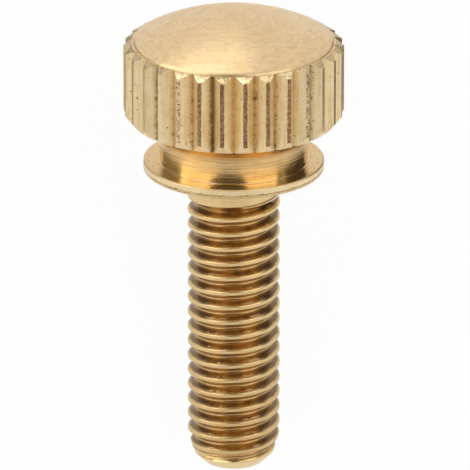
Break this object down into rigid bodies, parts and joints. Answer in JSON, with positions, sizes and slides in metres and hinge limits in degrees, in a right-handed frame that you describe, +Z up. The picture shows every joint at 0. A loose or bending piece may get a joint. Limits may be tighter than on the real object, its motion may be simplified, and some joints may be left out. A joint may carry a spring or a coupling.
{
  "type": "thumb screw",
  "caption": "Brass thumb screw with a domed, straight-knurled head on a coved neck, a thin collar and a threaded shank.",
  "frame": {"origin": "bottom centre of the bounding box, on the table the screw lies on", "axes": "+Y runs along the table from the screw's tip towards its head; +X is level across the screw; +Z is up. The screw's own axis lies in the YZ plane and rises 9.8 degrees from the tip to the head."},
  "size_m": [0.014, 0.0302, 0.0145],
  "materials": {
    "turned_brass": "satin, fine turning marks"
  },
  "bodies": {
    "root": {"thumb_screw": "turned_brass"}
  },
  "joints": []
}
